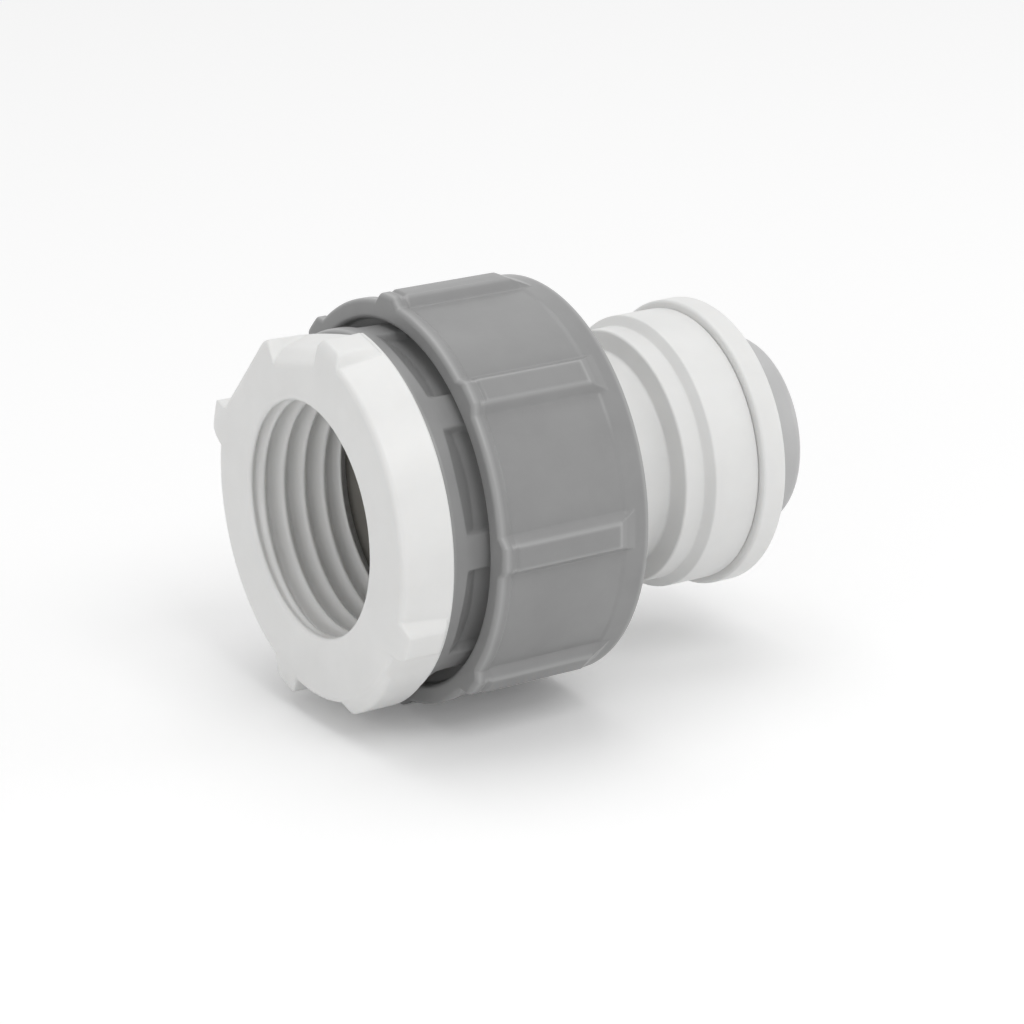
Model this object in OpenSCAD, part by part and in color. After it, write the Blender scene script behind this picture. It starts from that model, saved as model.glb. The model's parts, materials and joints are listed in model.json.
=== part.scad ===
// Tank outlet valve: a lugged tank adaptor with a female thread, a union nut with
// ribs, and a stepped barrel that holds a spring-loaded check valve and a push-fit
// pipe socket. The flow axis is +X, from the tank to the pipe. The origin lies on
// that axis in the plane of the flange's front face, and +Z is up.

/* [Tank adaptor] */
// Bore of the tank thread across its crests
thread_bore_d = 18.63; // [18.2:0.01:19.0]
// Depth of the tank thread behind the flange's face
thread_depth = 8.4; // [8.1:0.1:8.6]
// Flange diameter at its back edge
flange_d = 30.1; // [29.5:0.1:30.7]
// Flange diameter at its front face
flange_face_d = 28.6; // [28:0.1:29]
// Flange thickness
flange_t = 4.2; // [3.8:0.1:4.3]
// Diameter across the tips of the two long lugs
lug_tip_d = 32; // [31.6:0.1:32.4]
// Width of a lug
lug_w = 2.8; // [2.2:0.1:3.4]

/* [Union nut] */
// Nut diameter at its front rim, between its ribs
nut_d = 32.2; // [31.8:0.1:32.6]
// Diameter across the ribs
rib_tip_d = 33.7; // [33.3:0.1:34.2]
// Width of a rib at its foot
rib_w = 3.2; // [2.8:0.1:3.6]
// Number of ribs
rib_count = 8; // [4:1:10]
// Diameter of the collar's lip
collar_d = 28.3; // [27.8:0.1:28.8]

/* [Barrel] */
// Diameter of the barrel's neck
neck_d = 17.6; // [17.4:0.05:17.7]
// Diameter of the barrel's first step
step_1_d = 20.8; // [20.2:0.1:21.2]
// Diameter of the barrel's second step
step_2_d = 22.4; // [22:0.1:23]
// Diameter of the end cap
cap_d = 24; // [23.4:0.1:25]
// Thickness of the end cap's visible disc
cap_t = 2.35; // [2.2:0.05:2.6]
// Outside diameter of the release collet
collet_d = 16.06; // [15.9:0.02:16.1]
// Length of the collet outside the cap
collet_reach = 4.4; // [3.8:0.1:5]

/* [Pipe and valve] */
// Outside diameter of the pipe that fits the socket
pipe_d = 12; // [11.8:0.1:12.1]
// Bore of the valve seat
seat_d = 7.2; // [6.4:0.1:7.6]
// Travel of the valve disc between its closed and open positions
valve_travel = 2.2; // [1.4:0.1:2.4]
// Active turns of the valve spring
spring_turns = 3; // [2:1:4]
// Wire diameter of the valve spring
spring_wire_d = 0.4; // [0.3:0.05:0.45]

/* [Clearances] */
// Radial running fit between the spigot and the nut
nut_fit = 0.1; // [0.06:0.01:0.14]
// Radial clearance round the pipe in its socket
pipe_fit = 0.15; // [0.1:0.01:0.2]
// Radial clearance of the barrel's nose in the adaptor
nose_fit = 0.15; // [0.1:0.01:0.2]
// Running fit of the valve stem in its guide
stem_fit = 0.1; // [0.05:0.01:0.14]

/* [Hidden] */
$fn = 96;
eps = 0.01;

// Colours of the moulded plastics, the rubber and the steel
white_plastic = [0.93, 0.93, 0.92];
grey_plastic = [0.52, 0.52, 0.52];
dark_rubber = [0.13, 0.13, 0.14];
bright_steel = [0.75, 0.76, 0.78];

thread_bore_r = thread_bore_d / 2;
flange_r = flange_d / 2;
flange_face_r = flange_face_d / 2;
lug_tip_r = lug_tip_d / 2;
nut_r = nut_d / 2;
rib_tip_r = rib_tip_d / 2;
collar_r = collar_d / 2;
neck_r = neck_d / 2;
step_1_r = step_1_d / 2;
step_2_r = step_2_d / 2;
cap_r = cap_d / 2;
collet_r = collet_d / 2;
pipe_bore_r = pipe_d / 2 + pipe_fit;
seat_r = seat_d / 2;

// Adaptor stations behind the flange's face
mouth_round = 0.42;
face_round = 0.4;
washer_x = thread_depth + 0.9;
web_x = 11.3;
web_t = 1.5;
socket_x = web_x + web_t;
spigot_end_x = 16.5;
spigot_r = 12.4;
washer_seat_r = 10.6;
washer_r = 10.4;
washer_hole_r = 7.2;
web_hole_r = 5.6;
socket_r = neck_r + nose_fit;
spigot_lead = 0.5;

// Lugs: angle, clockwise from the top as seen from the tank, and how much the
// lug is shorter than the long ones
lugs = [[15, 0.7], [114, 0.4], [197.5, 0], [288.5, 0]];
lug_front_x = 0.15;
lug_back_x = 3.75;
lug_foot_r = 12.6;
lug_foot_flare = 0.25;
lug_edge_round = 0.45;
// Flats on the rim: normal angle, distance from the axis at the face, depth,
// distance at that depth, and the sector they fill
flats = [
    [349, 12, 1.2, 13.2, 338, 368.5],
    [349, 12.9, 4.2, 13.95, 338, 368.5],
    [314, 13.38, 4.2, 14.1, 294, 338]
];
flat_cut_t = 10;
flat_cut_w = 40;
// Ramp on the rim beside the lower lugs, a round set off the axis
ramp_angles = [130, 163];
ramp_set_angle = 190;
ramp_set = 1.64;
ramp_r = flange_r - 1.01;
ramp_tip_r = flange_r + 0.6;
ramp_bevel = 0.7;

// Nut stations
nut_x = flange_t + 0.2;
lip_back_x = nut_x + 1.3;
groove_end_x = 8.3;
rim_x = 6.5;
rim_end_x = 8;
panel_end_x = 18.7;
nut_end_x = 20.95;
nut_floor_x = 19.4;
nut_bore_r = spigot_r + nut_fit;
panel_r = nut_r - 0.15;
groove_r = 13.5;
rim_round = 0.8;
rear_round = 0.3;
lip_round = 0.4;
nut_hole_r = neck_r + 0.2;
rib_top_w = rib_w - 0.9;
rib_foot_r = nut_r - 1;
rib_front_x = rim_x + 0.4;
rib_crest_x = rib_front_x + 0.6;
rib_crest_end_x = 17.7;
rib_end_x = 19.6;
tab_w = rib_w - 0.3;

// Rings that hold the nut on the barrel
split_ring_x = 17.2;
split_ring_t = 1.2;
split_ring_in_r = neck_r - 0.8;
split_ring_out_r = 11.6;
split_gap = 2.4;
slip_ring_x = split_ring_x + split_ring_t;
slip_ring_r = 12.2;
slip_ring_hole_r = neck_r + 0.15;

// Barrel stations
nose_seal_x = 14;
nose_seal_w = 1.8;
nose_seal_root_r = 7.4;
nose_lead = 0.3;
cage_bore_r = 6.3;
valve_floor_x = 22.5;
pipe_stop_x = 23.5;
pipe_stop_r = 4.7;
step_1_x = 27.9;
step_1_end_x = 28.4;
pipe_seal_x = 28.8;
step_2_x = 30.1;
step_2_end_x = 30.75;
pipe_seal_w = 2.6;
spacer_x = pipe_seal_x + pipe_seal_w;
spacer_t = 1.2;
skirt_x = spacer_x + spacer_t;
barrel_end_x = 34.9;
pipe_seal_r = pipe_bore_r + pipe_seal_w + 0.02;
joint_bevel = 0.22;

// End cap and collet stations
cap_back_x = barrel_end_x + cap_t;
cone_x = barrel_end_x + 0.1;
throat_x = cone_x + 1.25;
throat_r = collet_r + 0.17;
collet_end_x = cap_back_x + collet_reach;
collet_head_x = 34.2;
collet_head_r = throat_r + 0.7;
collet_head_gap = 0.4;
skirt_t = 0.55;
skirt_fit = 0.05;
skirt_in_r = collet_head_r + collet_head_gap;
skirt_r = skirt_in_r + skirt_t;
cap_bore_r = skirt_r + skirt_fit;
collet_head_end_x = throat_x - 0.1;
collet_slots = 6;
slot_w = 1;
slot_end_x = cap_back_x - 0.3;
tooth_t = 0.3;
tooth_w = 2.6;
tooth_x = 34.75;
tooth_in_r = pipe_bore_r + 0.01;
tooth_out_r = collet_r - 0.33;
tooth_lean = 18;

// Check valve stations
cage_r = cage_bore_r - 0.05;
seat_face_x = 15;
inlet_r = 4.4;
inlet_end_x = 14;
cage_hall_r = 5.2;
cage_seal_x = 13.3;
cage_seal_w = 1.2;
cage_seal_root_r = 5.3;
poppet_seal_t = 0.7;
poppet_seal_r = 4.5;
poppet_seal_hole_r = 2.5;
poppet_disc_x = seat_face_x + poppet_seal_t;
poppet_disc_t = 0.8;
poppet_r = 4.6;
stem_r = 1.1;
stem_end_x = 23;
spring_x = poppet_disc_x + poppet_disc_t;
spring_dead_turns = 0.75;
spring_spare = 0.4;
spring_solid = (spring_turns + 2 * spring_dead_turns) * spring_wire_d;
guide_x = spring_x + valve_travel + spring_solid + spring_spare;
guide_ring_in_r = 4.3;
guide_hub_r = 2.8;
guide_hole_r = stem_r + stem_fit;
spoke_w = 1;
spring_mean_r = 2.3;
spring_steps = 20;

// Points of an arc about c, from angle a0 to a1, for the profiles below
function arc(c, r, a0, a1, n = 4) =
    [for (i = [0 : n]) c + r * [cos(a0 + (a1 - a0) * i / n), sin(a0 + (a1 - a0) * i / n)]];

// Sets a part that is turned about its own Z axis along the flow axis
module along_flow() {
    rotate([0, 90, 0]) children();
}

// A ring of rectangular section with its corners eased by e
module plain_ring(x, t, r_in, r_out, e = 0.15) {
    rotate_extrude()
        polygon([
            [r_in, x + e], [r_in + e, x], [r_out - e, x], [r_out, x + e],
            [r_out, x + t - e], [r_out - e, x + t], [r_in + e, x + t], [r_in, x + t - e]
        ]);
}

// A ring of round section
module round_ring(x, mean_r, wire_r) {
    translate([0, 0, x])
        rotate_extrude()
            translate([mean_r, 0]) circle(r = wire_r, $fn = 48);
}

// Prism that fills the sector between two angles, measured as the lugs are
module sector(a0, a1, x, t) {
    reach = 24;
    translate([0, 0, x])
        linear_extrude(height = t)
            polygon([
                [0, 0],
                [-reach * cos(a0), -reach * sin(a0)],
                [-reach * cos((a0 + a1) / 2), -reach * sin((a0 + a1) / 2)],
                [-reach * cos(a1), -reach * sin(a1)]
            ]);
}

// Material that a flat takes off the flange's front edge
module edge_flat(spec) {
    slope = atan((spec[3] - spec[1]) / spec[2]);
    intersection() {
        rotate([0, 0, spec[0]])
            translate([-spec[1], 0, 0])
                rotate([0, -slope, 0])
                    translate([-flat_cut_t, -flat_cut_w / 2, -flat_cut_w / 2])
                        cube([flat_cut_t, flat_cut_w, flat_cut_w]);
        sector(spec[4], spec[5], -1, flange_t + 2);
    }
}

// One lug of tip radius r, pointing up before it is turned into place
module lug(r) {
    w = lug_w / 2;
    e = lug_edge_round;
    translate([0, 0, lug_front_x])
        linear_extrude(height = lug_back_x - lug_front_x)
            polygon(concat(
                [[-lug_foot_r, -w - lug_foot_flare]],
                arc([-r + e, -w + e], e, 270, 180),
                arc([-r + e, w - e], e, 180, 90),
                [[-lug_foot_r, w + lug_foot_flare]]
            ));
}

// Ramp that rises along the rim and ends in a step, its front edge bevelled
module ramp() {
    intersection() {
        sector(ramp_angles[0], ramp_angles[1], lug_front_x, lug_back_x);
        rotate([0, 0, ramp_set_angle])
            translate([-ramp_set, 0, 0]) cylinder(r = ramp_r, h = flange_t);
        rotate_extrude()
            polygon([
                [0, 0],
                [flange_face_r - face_round, 0],
                [ramp_tip_r, ramp_tip_r - flange_face_r - face_round + ramp_bevel],
                [ramp_tip_r, flange_t],
                [0, flange_t]
            ]);
    }
}

// White adaptor: lugged flange, threaded bore, washer recess and socket
module tank_adaptor() {
    color(white_plastic) along_flow() difference() {
        union() {
            rotate_extrude()
                polygon(concat(
                    [[0, 0]],
                    arc([flange_face_r - face_round, face_round], face_round, -90, -8),
                    arc([flange_r - 0.25, flange_t - 0.25], 0.25, 0, 90),
                    [[spigot_r, flange_t], [spigot_r, spigot_end_x - spigot_lead]],
                    [[spigot_r - spigot_lead, spigot_end_x], [0, spigot_end_x]]
                ));
            for (spec = lugs)
                rotate([0, 0, spec[0]]) lug(lug_tip_r - spec[1]);
            ramp();
        }
        // Threaded bore with its rounded mouth and the washer recess
        translate([0, 0, -1]) cylinder(r = thread_bore_r, h = thread_depth + 1 + eps);
        rotate_extrude()
            polygon(concat(
                [[thread_bore_r - 1, -1], [thread_bore_r + mouth_round, -1]],
                arc([thread_bore_r + mouth_round, mouth_round], mouth_round, 270, 180),
                [[thread_bore_r - 1, mouth_round]]
            ));
        translate([0, 0, thread_depth])
            cylinder(r = washer_seat_r, h = web_x - thread_depth);
        // Way through the web and the socket for the barrel's nose
        translate([0, 0, web_x - 1]) cylinder(r = web_hole_r, h = web_t + 2);
        translate([0, 0, socket_x])
            cylinder(r = socket_r, h = spigot_end_x - socket_x + 1);
        for (spec = flats) edge_flat(spec);
    }
}

// Flat washer on the web, the tank's spout seals on it
module tank_washer() {
    color(dark_rubber) along_flow()
        plain_ring(washer_x, web_x - washer_x, washer_hole_r, washer_r);
}

// One rib of the nut, pointing up before it is turned into place
module rib() {
    intersection() {
        linear_extrude(height = nut_end_x)
            polygon([
                [-rib_foot_r, -rib_w / 2 - 0.2],
                [-rib_tip_r, -rib_top_w / 2],
                [-rib_tip_r, rib_top_w / 2],
                [-rib_foot_r, rib_w / 2 + 0.2]
            ]);
        rotate([90, 0, 0])
            linear_extrude(height = rib_w + 2, center = true)
                polygon([
                    [-rib_foot_r, rib_front_x],
                    [-nut_r + 0.1, rib_front_x],
                    [-rib_tip_r, rib_crest_x],
                    [-rib_tip_r, rib_crest_end_x],
                    [-panel_r + 0.05, rib_end_x],
                    [-rib_foot_r, rib_end_x]
                ]);
    }
}

// Tab that joins the collar's lip to the nut, pointing up
module tab() {
    intersection() {
        translate([-collar_r, -tab_w / 2, lip_back_x - 0.5])
            cube([collar_r - groove_r + 0.4, tab_w, groove_end_x - lip_back_x + 0.7]);
        cylinder(r = collar_r, h = nut_end_x);
    }
}

// Grey union nut with its ribs and its lipped collar
module union_nut() {
    color(grey_plastic) along_flow() difference() {
        union() {
            rotate_extrude()
                polygon(concat(
                    [[nut_hole_r, nut_floor_x], [nut_bore_r, nut_floor_x], [nut_bore_r, nut_x]],
                    arc([collar_r - lip_round, nut_x + lip_round], lip_round, -90, 0),
                    arc([collar_r - 0.25, lip_back_x - 0.25], 0.25, 0, 90),
                    [[groove_r, lip_back_x], [groove_r, groove_end_x]],
                    arc([nut_r - rim_round, rim_x + rim_round], rim_round, -180, 0, 8),
                    [[nut_r, rim_end_x], [panel_r, rim_end_x + 0.3]],
                    [[panel_r, panel_end_x], [nut_r, panel_end_x + 0.3]],
                    arc([nut_r - rear_round, nut_end_x - rear_round], rear_round, 0, 90),
                    [[nut_hole_r + 0.3, nut_end_x], [nut_hole_r, nut_end_x - 0.3]]
                ));
            for (i = [0 : rib_count - 1])
                rotate([0, 0, i * 360 / rib_count]) rib();
            for (i = [0 : rib_count - 1])
                rotate([0, 0, i * 360 / rib_count]) tab();
        }
        translate([0, 0, nut_x - 1]) cylinder(r = nut_bore_r, h = nut_floor_x - nut_x + 1);
    }
}

// Thrust ring between the nut's floor and the split ring
module slip_ring() {
    color(white_plastic) along_flow()
        plain_ring(slip_ring_x, nut_floor_x - slip_ring_x, slip_ring_hole_r, slip_ring_r);
}

// Open ring in the barrel's groove, it carries the nut's pull
module split_ring() {
    color(white_plastic) along_flow() difference() {
        plain_ring(split_ring_x, split_ring_t, split_ring_in_r, split_ring_out_r, 0.1);
        translate([-split_ring_out_r - 1, -split_gap / 2, split_ring_x - 1])
            cube([split_ring_out_r, split_gap, split_ring_t + 2]);
    }
}

// White stepped barrel with its nose, valve bore and pipe socket
module valve_body() {
    color(white_plastic) along_flow() rotate_extrude()
        polygon([
            [cage_bore_r, socket_x],
            [neck_r - nose_lead, socket_x],
            [neck_r, socket_x + nose_lead],
            [neck_r, nose_seal_x],
            [nose_seal_root_r, nose_seal_x],
            [nose_seal_root_r, nose_seal_x + nose_seal_w],
            [neck_r, nose_seal_x + nose_seal_w],
            [neck_r, split_ring_x],
            [split_ring_in_r, split_ring_x],
            [split_ring_in_r, split_ring_x + split_ring_t],
            [neck_r, split_ring_x + split_ring_t],
            [neck_r, step_1_x],
            [step_1_r - 0.12, step_1_end_x - 0.08],
            [step_1_r, step_1_end_x + 0.06],
            [step_1_r, step_2_x],
            [step_2_r - 0.12, step_2_end_x - 0.08],
            [step_2_r, step_2_end_x + 0.06],
            [step_2_r, barrel_end_x - joint_bevel],
            [step_2_r - joint_bevel, barrel_end_x],
            [cap_bore_r, barrel_end_x],
            [cap_bore_r, spacer_x],
            [pipe_seal_r, spacer_x],
            [pipe_seal_r, pipe_seal_x],
            [pipe_bore_r, pipe_seal_x],
            [pipe_bore_r, pipe_stop_x],
            [pipe_stop_r, pipe_stop_x],
            [pipe_stop_r, valve_floor_x],
            [cage_bore_r, valve_floor_x]
        ]);
}

// Seal round the barrel's nose
module nose_o_ring() {
    color(dark_rubber) along_flow()
        round_ring(
            nose_seal_x + nose_seal_w / 2,
            (nose_seal_root_r + socket_r) / 2,
            (socket_r - nose_seal_root_r) / 2
        );
}

// Cartridge with the valve seat, it is pushed into the barrel from the front
module check_cage() {
    color(white_plastic) along_flow() rotate_extrude()
        polygon([
            [inlet_r, socket_x],
            [cage_r - 0.2, socket_x],
            [cage_r, socket_x + 0.2],
            [cage_r, cage_seal_x],
            [cage_seal_root_r, cage_seal_x],
            [cage_seal_root_r, cage_seal_x + cage_seal_w],
            [cage_r, cage_seal_x + cage_seal_w],
            [cage_r, valve_floor_x],
            [cage_hall_r, valve_floor_x],
            [cage_hall_r, seat_face_x],
            [seat_r, seat_face_x],
            [seat_r, inlet_end_x + 0.3],
            [inlet_r, inlet_end_x]
        ]);
}

// Seal round the cartridge
module cage_o_ring() {
    color(dark_rubber) along_flow()
        round_ring(
            cage_seal_x + cage_seal_w / 2,
            (cage_seal_root_r + cage_bore_r) / 2,
            (cage_bore_r - cage_seal_root_r) / 2
        );
}

// Valve disc with its front boss and its stem
module poppet() {
    color(grey_plastic) along_flow() rotate_extrude()
        polygon([
            [0, seat_face_x - 1],
            [poppet_seal_hole_r - 0.6, seat_face_x - 0.8],
            [poppet_seal_hole_r, seat_face_x - 0.3],
            [poppet_seal_hole_r, poppet_disc_x],
            [poppet_r - 0.15, poppet_disc_x],
            [poppet_r, poppet_disc_x + 0.15],
            [poppet_r, spring_x - 0.15],
            [poppet_r - 0.15, spring_x],
            [stem_r + 0.5, spring_x],
            [stem_r, spring_x + 0.5],
            [stem_r, stem_end_x - 0.3],
            [stem_r - 0.3, stem_end_x],
            [0, stem_end_x]
        ]);
}

// Rubber ring that closes on the seat
module poppet_seal() {
    color(dark_rubber) along_flow()
        plain_ring(seat_face_x, poppet_seal_t, poppet_seal_hole_r, poppet_seal_r, 0.1);
}

// Compression spring between the disc and its guide, a swept round wire
module poppet_spring() {
    wire_r = spring_wire_d / 2;
    sides = 10;
    x0 = spring_x + wire_r;
    x1 = guide_x - wire_r;
    dead = spring_dead_turns;
    turns = spring_turns + 2 * dead;
    last = ceil(turns * spring_steps);
    closed_gap = spring_wire_d + 0.02;
    rise = function (t)
        t < dead ? closed_gap * t
        : t > turns - dead ? (x1 - x0) - closed_gap * (turns - t)
        : closed_gap * dead
            + (x1 - x0 - 2 * closed_gap * dead) * (t - dead) / (turns - 2 * dead);
    points = [
        for (i = [0 : last]) for (j = [0 : sides - 1])
            let (
                t = turns * i / last,
                a = 360 * t,
                b = 360 * j / sides,
                r = spring_mean_r + wire_r * cos(b)
            )
            [r * cos(a), r * sin(a), x0 + rise(t) + wire_r * sin(b)]
    ];
    faces = concat(
        [[for (j = [0 : sides - 1]) j]],
        [[for (j = [0 : sides - 1]) last * sides + sides - 1 - j]],
        [
            for (i = [0 : last - 1]) for (j = [0 : sides - 1])
                [
                    i * sides + j,
                    (i + 1) * sides + j,
                    (i + 1) * sides + (j + 1) % sides
                ]
        ],
        [
            for (i = [0 : last - 1]) for (j = [0 : sides - 1])
                [
                    i * sides + j,
                    (i + 1) * sides + (j + 1) % sides,
                    i * sides + (j + 1) % sides
                ]
        ]
    );
    color(bright_steel) along_flow() polyhedron(points = points, faces = faces);
}

// Three-spoked guide for the stem, it also backs the spring
module spring_guide() {
    color(grey_plastic) along_flow() difference() {
        union() {
            plain_ring(guide_x, valve_floor_x - guide_x, guide_ring_in_r, cage_hall_r, 0.1);
            translate([0, 0, guide_x]) cylinder(r = guide_hub_r, h = valve_floor_x - guide_x);
            for (i = [0 : 2])
                rotate([0, 0, 120 * i + 60])
                    translate([0, -spoke_w / 2, guide_x])
                        cube([guide_ring_in_r + 0.3, spoke_w, valve_floor_x - guide_x]);
        }
        translate([0, 0, guide_x - 1]) cylinder(r = guide_hole_r, h = valve_floor_x - guide_x + 2);
    }
}

// Seal that grips the pipe
module pipe_o_ring() {
    color(dark_rubber) along_flow()
        round_ring(
            pipe_seal_x + pipe_seal_w / 2,
            pipe_seal_r - pipe_seal_w / 2,
            pipe_seal_w / 2
        );
}

// Back-up ring behind the pipe's seal
module o_ring_spacer() {
    color(white_plastic) along_flow()
        plain_ring(spacer_x, spacer_t, pipe_bore_r + 0.1, cap_bore_r - 0.1);
}

// White cap that closes the socket and carries the collet's cone
module end_cap() {
    color(white_plastic) along_flow() rotate_extrude()
        polygon([
            [skirt_in_r, skirt_x],
            [skirt_r, skirt_x],
            [skirt_r, barrel_end_x],
            [cap_r - joint_bevel, barrel_end_x],
            [cap_r, barrel_end_x + joint_bevel],
            [cap_r, cap_back_x - 0.45],
            [cap_r - 0.1, cap_back_x - 0.15],
            [cap_r - 0.3, cap_back_x],
            [throat_r + 0.25, cap_back_x],
            [throat_r, cap_back_x - 0.25],
            [throat_r, throat_x],
            [skirt_in_r, cone_x]
        ]);
}

// Blade of one steel tooth, pointing up
module tooth() {
    translate([-tooth_in_r - tooth_t * sin(tooth_lean), 0, tooth_x])
        rotate([0, tooth_lean, 0])
            translate([tooth_in_r - tooth_out_r, -tooth_w / 2, 0])
                cube([tooth_out_r - tooth_in_r, tooth_w, tooth_t]);
}

// Grey collet: a tube with a slotted, flared head inside the cap
module release_collet() {
    color(grey_plastic) along_flow() difference() {
        rotate_extrude()
            polygon(concat(
                [
                    [pipe_bore_r, collet_head_x],
                    [collet_head_r, collet_head_x],
                    [collet_head_r, collet_head_x + 0.8],
                    [collet_r, collet_head_end_x]
                ],
                arc([collet_r - 0.7, collet_end_x - 0.7], 0.7, 0, 90),
                [[pipe_bore_r + 0.5, collet_end_x], [pipe_bore_r, collet_end_x - 0.5]]
            ));
        for (i = [0 : collet_slots - 1])
            rotate([0, 0, (i + 0.5) * 360 / collet_slots])
                translate([-collet_head_r - 1, -slot_w / 2, collet_head_x - 1])
                    cube([collet_head_r, slot_w, slot_end_x - collet_head_x + 1]);
        for (i = [0 : collet_slots - 1])
            rotate([0, 0, i * 360 / collet_slots]) tooth();
    }
}

// Steel teeth, one set in each finger of the collet
module collet_teeth() {
    color(bright_steel) along_flow()
        for (i = [0 : collet_slots - 1])
            rotate([0, 0, i * 360 / collet_slots]) tooth();
}

tank_adaptor();
tank_washer();
union_nut();
slip_ring();
split_ring();
valve_body();
nose_o_ring();
check_cage();
cage_o_ring();
poppet();
poppet_seal();
poppet_spring();
spring_guide();
pipe_o_ring();
o_ring_spacer();
end_cap();
release_collet();
collet_teeth();
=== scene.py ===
import bpy
import json
import math
import numpy as np
from collections import namedtuple
from mathutils import Matrix, Vector


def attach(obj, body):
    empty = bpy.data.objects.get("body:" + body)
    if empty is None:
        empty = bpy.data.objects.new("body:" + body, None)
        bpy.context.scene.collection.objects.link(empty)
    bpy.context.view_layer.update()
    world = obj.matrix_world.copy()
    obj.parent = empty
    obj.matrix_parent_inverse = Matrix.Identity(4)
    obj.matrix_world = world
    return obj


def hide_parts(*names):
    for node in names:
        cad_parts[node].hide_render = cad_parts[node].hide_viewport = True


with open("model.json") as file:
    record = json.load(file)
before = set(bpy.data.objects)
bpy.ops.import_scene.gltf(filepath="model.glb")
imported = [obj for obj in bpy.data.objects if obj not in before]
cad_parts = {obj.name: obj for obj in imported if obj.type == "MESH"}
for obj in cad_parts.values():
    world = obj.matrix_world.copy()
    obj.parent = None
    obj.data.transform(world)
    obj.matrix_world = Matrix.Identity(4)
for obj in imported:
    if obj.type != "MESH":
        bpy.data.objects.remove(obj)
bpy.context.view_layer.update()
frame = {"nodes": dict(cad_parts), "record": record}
nodes = frame["nodes"]
scene = bpy.context.scene
MM = 0.001
TAU = 2 * math.pi

# Sizes are in mm. x runs along the flow axis from the flange's front face, and r is
# the distance from that axis. Angles are in degrees, clockwise from the top as seen
# from the tank.

# Fits and gaps between the pieces
NUT_FIT = 0.1  # round the spigot
NUT_GAP = 0.2  # behind the flange
NOSE_FIT = 0.15  # round the barrel's nose in the adaptor's socket
NECK_FIT = 0.2  # round the barrel's neck in the nut
SKIRT_FIT = 0.05  # round the end cap's skirt in the barrel
CAP_GAP = 0.05  # behind the barrel, seen as a dark line

# Tank thread in the flange's bore
THREAD_R = 9.315  # at its crests
THREAD_PITCH = 1.814
THREAD_DEPTH = 1.16
THREAD_END = 8.4
THREAD_START_X = 0.25  # of its lead-in at the mouth
THREAD_FULL_X = 1.3
THREAD_RUNOUT = 0.6
THREAD_OVERRUN = 0.1  # of its runout past the bore's end
MOUTH_ROUND = 0.42
MOUTH_R = THREAD_R + MOUTH_ROUND

# Flange, a cone between its front face and its back edge
FLANGE_T = 4.2
FLANGE_R = 15.05
FLANGE_FACE_R = 14.36
FLANGE_BACK_R = 13.6  # of a support on its back face
FRONT_ROUND = 0.4
BACK_ROUND = 0.22
FACE_SUPPORTS = np.array([0.02, 0.5, 0.93, 0.985])  # shares of the way from mouth to rim
RIM_STATIONS = np.concatenate([
    np.linspace(0, 1.2, 14),
    np.linspace(1.35, 3.6, 12),
    np.linspace(3.7, FLANGE_T, 7),
])

# Lugs on the rim. Their sides and ends rise over the widths called slopes.
Lug = namedtuple("Lug", "angle tip_r")
LUGS = (Lug(15.0, 15.3), Lug(114.0, 15.6), Lug(197.5, 16.0), Lug(287.0, 16.2))
LUG_HALF_W = 1.8  # at the foot
LUG_SLOPE = 0.62
LUG_REACH = 3  # from its middle, past which it has no part in the rim
LUG_FRONT_X = -0.12
LUG_FRONT_SLOPE = 0.45
LUG_BACK_X = 3.85
LUG_BACK_SLOPE = 0.3
LUG_SIDE_ANGLE = 5.4  # from its middle to the middle of its side
RIM_ARC_R = 15  # where distances round the rim are measured

# Flats on the rim: the angle each faces, its distance from the axis at the face and
# at some depth, and the sector it fills
Flat = namedtuple("Flat", "angle face_r depth depth_r start end")
FLATS = (
    Flat(349, 12.15, 1.2, 13.2, 338, 368.5),
    Flat(349, 12.9, 4.2, 13.95, 338, 368.5),
    Flat(314, 13.5, 4.2, 14.2, 294, 338),
    Flat(345, 14.1, 4.2, 13.93, 318, 352),
)
FLAT_REACH = 40
FLAT_LAP = 0.05
FLAT_RUNOUT = 6  # mm up for each mm past the sector
MM_A_DEGREE = 0.26  # round the rim

# Ramp on the rim, round about an axis set to one side and with a bevelled front
RAMP_START = 130
RAMP_END = 163
RAMP_SET_ANGLE = 190
RAMP_SET = 1.64
RAMP_R = 14.04
RAMP_BEVEL_R = 14.05  # at the face
RAMP_BEVEL_SLOPE = 1.45

# Spigot behind the flange, with the thread for the nut, and the socket inside it
NECK_R = 8.8  # of the barrel
SPIGOT_R = 12.4
SPIGOT_END = 16.5
SPIGOT_LEAD = 0.4
UNION_PITCH = 2.0
UNION_DEPTH = 0.55
UNION_STEEPNESS = 1.6  # of its flanks, which leaves flat crests and roots
UNION_START_X = FLANGE_T + 0.2
UNION_LEAD = 1.0
UNION_END_X = SPIGOT_END - 0.4
UNION_RUNOUT = 1.2
SPIGOT_ROOT_R = SPIGOT_R - UNION_DEPTH
WASHER_SEAT_R = 10.6
WEB_X = 11.3
WEB_HOLE_R = 5.6
SOCKET_X = 12.8
SOCKET_R = NECK_R + NOSE_FIT

# Union nut
RIBS = 8
RIB_PITCH = 360 / RIBS
NUT_R = 16.1  # at the front rim
NUT_X = FLANGE_T + NUT_GAP
NUT_END = 20.95
NUT_REAR_R = NUT_R - 0.08
NUT_REAR_X = 20.6  # of the rounding at its back
NUT_BORE_R = SPIGOT_R + NUT_FIT
NUT_FLOOR_X = 19.4
NUT_HOLE_R = NECK_R + NECK_FIT
PANEL_R = NUT_R - 0.15  # between the ribs
BAND_RISE = 0.07  # of the band round its back
BAND_X = 18.55
BAND_SLOPE = 0.4

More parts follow.
